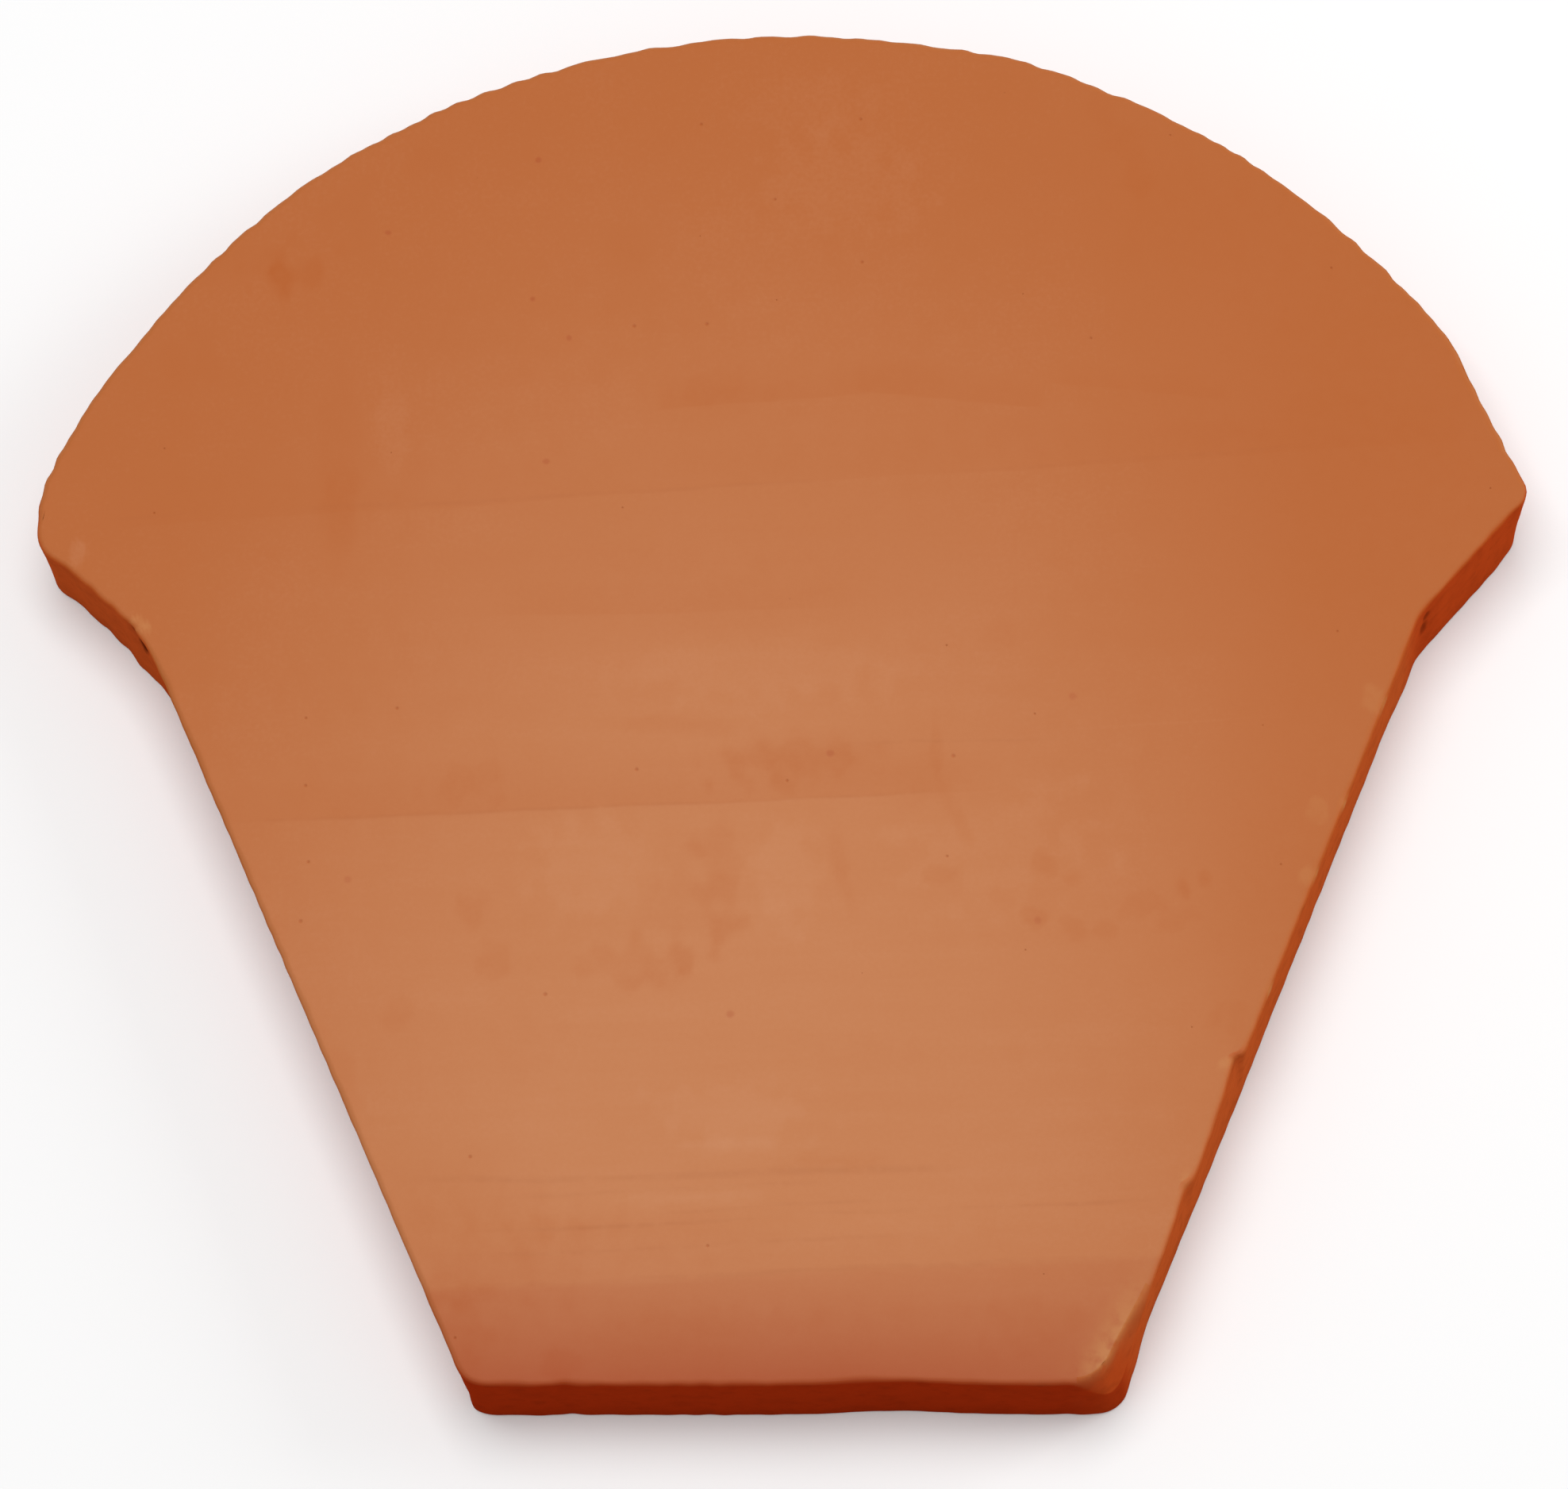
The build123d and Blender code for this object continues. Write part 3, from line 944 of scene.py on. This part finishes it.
# Each pore: middle x and y, reach across and up, strength of its painted shade.
iron_specks = [
    (-29.1, 69.9, 0.5, 0.5, 0.35), (-47.6, 60.6, 0.6, 0.5, 0.35), (-29.7, 51.2, 0.5, 0.5, 0.40),
    (-25.2, 45.9, 0.5, 0.5, 0.30), (-27.9, 29.6, 0.6, 0.5, 0.30), (6.1, -8.9, 0.7, 0.6, 0.30),
    (-6.0, -41.2, 0.7, 0.6, 0.28), (35.0, -2.4, 0.7, 0.6, 0.22), (30.2, -30.4, 0.7, 0.7, 0.22),
    (-51.2, -23.5, 0.6, 0.6, 0.22),
]
line_count = len(drag_lines) + len(tide_marks) + len(pale_lines)
print("lines", line_count, "specks", len(iron_specks), "pits", len(pits))

# %% [markdown]
# ## Laying the colours over each other
# Each Mix node works as a glaze over what lies below it. The face starts as a blend of its warm and
# its pale clay, and the pale share on the lower half is partly a painted sheen. One tone, made of
# stains with some painted shade among them, tide marks and noises, then pulls it towards the deep
# or the milky colour. The tail with its painted shade, the drag lines and the dark pores come
# last, the pores darkened as painted shade. The wall is made the same way, with painted light and
# painted shade on its sides, and the marks on the mesh say which of the two shows.

# %% Mix the face
break_at_lumps, break_at_streaks = (0.20, 0.62), (0.36, 0.58)
mottle_change, mottle_least = 1.2, 0.4
patch_strength, cloud_strength, speck_strength, streak_strength = 0.06, 0.02, 0.14, 0.16
pinhole_strength = 0.35
speck_z, speck_tall = 15.0, 2.0

broken = calc(
    clay, "MULTIPLY",
    soft_step(clay, fine_lumps, *break_at_lumps), soft_step(clay, streaks, *break_at_streaks),
)
scored = calc(clay, "MULTIPLY", dragged(drag_lines), broken)
mottle = calc(clay, "MULTIPLY_ADD", fine_lumps, mottle_change, mottle_least)
mottled = calc(clay, "MULTIPLY", given["Stain"], mottle)
shade = calc(clay, "ADD", mottled, dragged(tide_marks))
pale = calc(clay, "ADD", given["Milky"], dragged(pale_lines))


def centred(noise, strength):
    """A noise moved to run from minus half to plus half, times a strength."""
    return calc(clay, "MULTIPLY_ADD", noise, strength, -strength / 2)


uneven_tone = sum_of(clay, [
    centred(large_lumps, patch_strength),
    centred(lumps, cloud_strength),
    centred(grains["Speckle"], speck_strength),
    calc(clay, "MULTIPLY", centred(streaks, streak_strength), given["Bloom"]),
])
tone = calc(clay, "SUBTRACT", calc(clay, "ADD", shade, uneven_tone), pale)
face_colour = mixed(clay, given["Bloom"], warm_face, pale_face)
face_colour = mixed(clay, tone, face_colour, deep_face)
face_colour = mixed(clay, calc(clay, "MULTIPLY", tone, -1.0), face_colour, milky_face)
face_colour = mixed(clay, given["Tail"], face_colour, tail_face)
face_colour = mixed(clay, scored, face_colour, line_brown)
# Pinholes and pores are darkened with painted shade.
specks = spotted(
    [(x, y, speck_z, wide, up, speck_tall, strength) for x, y, wide, up, strength in iron_specks],
    fine_lumps,
)
dotted = calc(clay, "MULTIPLY_ADD", grains["Pinhole"], pinhole_strength, specks)
face_colour = mixed(clay, dotted, face_colour, iron_speck)
print("face mixed, group", clay.name, "has", len(clay.nodes), "nodes")

# %% Mix the wall with its painted light and shade, the worn edges and the pits' painted shade
wall_lump_strength = 0.5
grit_range, grit_strength = (0.48, 0.74), 0.12
worn_range, worn_strength = (0.20, 0.60), 0.55

# The right taper and the left shoulder get painted light, and the narrow end's wall painted shade.
wall_colour = mixed(clay, given["Light Wall"], side_wall, light_wall_face)
wall_colour = mixed(clay, given["End Wall"], wall_colour, end_wall)
wall_lumps = calc(clay, "ABSOLUTE", centred(lumps, wall_lump_strength))
wall_colour = mixed(clay, wall_lumps, wall_colour, torn_brown)
wall_grit = calc(clay, "MULTIPLY", soft_step(clay, fine_lumps, *grit_range), grit_strength)
wall_colour = mixed(clay, wall_grit, wall_colour, torn_brown)
wall_colour = mixed(clay, given["Underside"], wall_colour, plain_underside)
colour = mixed(clay, given["Wall"], face_colour, wall_colour)
worn_share = calc(clay, "MULTIPLY", given["Pale Edge"], soft_step(clay, fine_lumps, *worn_range))
colour = mixed(clay, calc(clay, "MULTIPLY", worn_share, worn_strength), colour, worn_ochre)
# Painted shade inside the torn pits.
colour = mixed(clay, spotted(pits.tolist(), fine_lumps), colour, torn_brown)
feed(clay, out["Color"], colour)
print("wall mixed, group", clay.name, "has", len(clay.nodes), "nodes")

# %% Roughness and relief
face_roughness, roughness_change, wall_rougher = 0.52, 0.12, 0.3
wall_relief_height, streak_height = 0.10, 0.02

face_rough = calc(clay, "MULTIPLY_ADD", large_lumps, roughness_change, face_roughness)
rough = calc(clay, "MULTIPLY_ADD", given["Wall"], wall_rougher, face_rough)
feed(clay, out["Roughness"], rough)
torn_relief = calc(clay, "MULTIPLY", fine_lumps, given["Wall"])
torn_relief = calc(clay, "MULTIPLY", torn_relief, wall_relief_height)
streak_relief = calc(clay, "MULTIPLY", streaks, streak_height)
feed(clay, out["Height"], sum_of(clay, [grains["Height"], torn_relief, streak_relief]))
print("group", clay.name, "with", len(clay.nodes), "nodes")

# %% [markdown]
# ## Two materials from one clay
# The smoothed face has a faint sheen, and the torn wall has none. That gloss is one plain number on
# each shader, so there are two materials, each with the same clay group feeding its colour,
# roughness and relief. They meet half way over the rim. The rubbed slope is as matt as the wall, so
# there the wall's material starts where the face ends. Object coordinates keep the pattern fixed to
# the clay.

# %% Materials: smoothed face and cut wall
millimetres = (1000.0, 1000.0, 1000.0)
relief_unit = 0.001
face_gloss, wall_gloss = 0.20, 0.0
matt_above = 0.05


def clay_material(name, gloss):
    """The clay group on a Principled shader with its own level of gloss."""
    material = bpy.data.materials.new(name)
    material.use_nodes = True
    tree = material.node_tree
    shader = tree.nodes["Principled BSDF"]
    where = tree.nodes.new("ShaderNodeTexCoord")
    in_millimetres = vector_calc(tree, "MULTIPLY", where.outputs["Object"], millimetres)
    body = placed(tree, clay, Place=in_millimetres)
    for mark in marks:
        read = tree.nodes.new("ShaderNodeAttribute")
        read.attribute_name = mark
        feed(tree, body["Color"].node.inputs[socket_name(mark)], read.outputs["Fac"])
    bump = tree.nodes.new("ShaderNodeBump")
    bump.inputs["Distance"].default_value = relief_unit
    feed(tree, bump.inputs["Height"], body["Height"])
    feed(tree, shader.inputs["Base Color"], body["Color"])
    feed(tree, shader.inputs["Roughness"], body["Roughness"])
    feed(tree, shader.inputs["Normal"], bump.outputs["Normal"])
    shader.inputs["Specular IOR Level"].default_value = gloss
    return material


mesh.materials.append(clay_material("smoothed face", face_gloss))
mesh.materials.append(clay_material("cut wall", wall_gloss))
below_rim = np.arange(len(hoops) - 1)[:, None] >= rim_steps // 2
wall_quad = below_rim | (edge_rubbed > matt_above)
on_wall = np.concatenate([np.zeros(len(face_quads), bool), wall_quad.ravel(), [True]])
mesh.polygons.foreach_set("material_index", on_wall.astype(np.int32))
print("materials:", [m.name for m in mesh.materials])

# %% [markdown]
# ## Floor
# The tile lies on a plain pale sheet that runs far past the picture. Its colour is near white. For
# the camera alone a little light is added, so that the sheet reads as white paper while it still
# shows the tile's soft shadow.

# %% Lay the floor
floor_reach = 3.0
floor_paint = (0.86, 0.86, 0.86, 1.0)
floor_roughness, floor_lift = 0.9, 0.14

floor_mesh = bpy.data.meshes.new("floor")
corners = np.array([(-1, -1, 0), (1, -1, 0), (1, 1, 0), (-1, 1, 0)]) * floor_reach
floor_mesh.from_pydata(corners.tolist(), [], [(0, 1, 2, 3)])
floor = bpy.data.objects.new("floor", floor_mesh)
bpy.context.scene.collection.objects.link(floor)

paper = bpy.data.materials.new("white paper")
paper.use_nodes = True
tree = paper.node_tree
paper_shader = tree.nodes["Principled BSDF"]
paper_shader.inputs["Base Color"].default_value = floor_paint
paper_shader.inputs["Roughness"].default_value = floor_roughness
paper_shader.inputs["Specular IOR Level"].default_value = 0.0
paper_shader.inputs["Emission Color"].default_value = (1.0, 1.0, 1.0, 1.0)
ray = tree.nodes.new("ShaderNodeLightPath")
lift = calc(tree, "MULTIPLY", ray.outputs["Is Camera Ray"], floor_lift)
feed(tree, paper_shader.inputs["Emission Strength"], lift)
floor_mesh.materials.append(paper)
print("floor", 2 * floor_reach, "m across")

# %% [markdown]
# ## Light
# The tile was lit softly from above and from its far side, so the walls that face the viewer lie
# in shade. Three sources do this: a wide panel overhead, whose soft reflection also makes the sheen
# on the lower half of the face, a weaker lamp from the right, and an even pale sky.

# %% Hang the lamps
tile_middle = Vector((0.0, 0.0, thickness))


def panel(name, place, size, power):
    """A square area lamp at a place, turned to the tile's middle and not itself in the picture."""
    data = bpy.data.lights.new(name, "AREA")
    data.size = size
    data.energy = power
    lamp = bpy.data.objects.new(name, data)
    lamp.location = place
    lamp.rotation_euler = (tile_middle - Vector(place)).to_track_quat("-Z", "Y").to_euler()
    lamp.visible_camera = False
    bpy.context.scene.collection.objects.link(lamp)
    print(name, power, "W")


panel("overhead panel", place=(-0.08, 0.12, 1.2), size=0.8, power=9.0)
panel("right lamp", place=(0.90, 0.25, 0.50), size=0.5, power=2.6)

# %% Make the sky
sky_light = 0.35
sky_shown = 1.0

world = bpy.data.worlds.new("pale sky")
bpy.context.scene.world = world
world.use_nodes = True
tree = world.node_tree
sky = tree.nodes["Background"]
sky.inputs["Color"].default_value = (1.0, 1.0, 1.0, 1.0)
ray = tree.nodes.new("ShaderNodeLightPath")
mirrored = calc(tree, "MAXIMUM", ray.outputs["Is Glossy Ray"], ray.outputs["Is Transmission Ray"])
seen = calc(tree, "MAXIMUM", ray.outputs["Is Camera Ray"], mirrored)
strength = calc(tree, "MULTIPLY_ADD", seen, sky_shown - sky_light, sky_light)
feed(tree, sky.inputs["Strength"], strength)
bpy.context.scene.view_settings.view_transform = "Standard"
print("sky lights at", sky_light, "and shows at", sky_shown)

# %% [markdown]
# ## Camera
# The photograph looks down on the tile from the narrow end, about twenty degrees off the vertical
# and a little from the right. The edges of the tile give the lens: a long one, with the nearer end
# only slightly enlarged. Camera axes are built from that direction and a small roll.

# %% Place the camera
film_wide = 36.0
picture_wide = 1976
lens_in_pixels = 8000.0
camera_distance = 0.7545
lean = 0.35996
swing_right = 0.10093
roll = -0.00891
aim = Vector((0.00058, -0.00771, thickness))

camera_data = bpy.data.cameras.new("camera")
camera_data.sensor_width = film_wide
camera_data.lens = film_wide * lens_in_pixels / picture_wide
camera = bpy.data.objects.new("camera", camera_data)
to_right = math.sin(lean) * math.sin(swing_right)
to_front = math.sin(lean) * math.cos(swing_right)
back = Vector((to_right, -to_front, math.cos(lean)))
sideways = (-back).cross(Vector((0, 1, 0))).normalized()
upright = sideways.cross(-back)
across = sideways * math.cos(roll) + upright * math.sin(roll)
upward = upright * math.cos(roll) - sideways * math.sin(roll)
turned = Matrix((across, upward, back)).transposed().to_4x4()
camera.matrix_world = Matrix.Translation(aim + back * camera_distance) @ turned
bpy.context.scene.collection.objects.link(camera)
bpy.context.scene.camera = camera
print("lens", round(camera_data.lens, 1), "mm at", round(camera_distance, 3), "m")
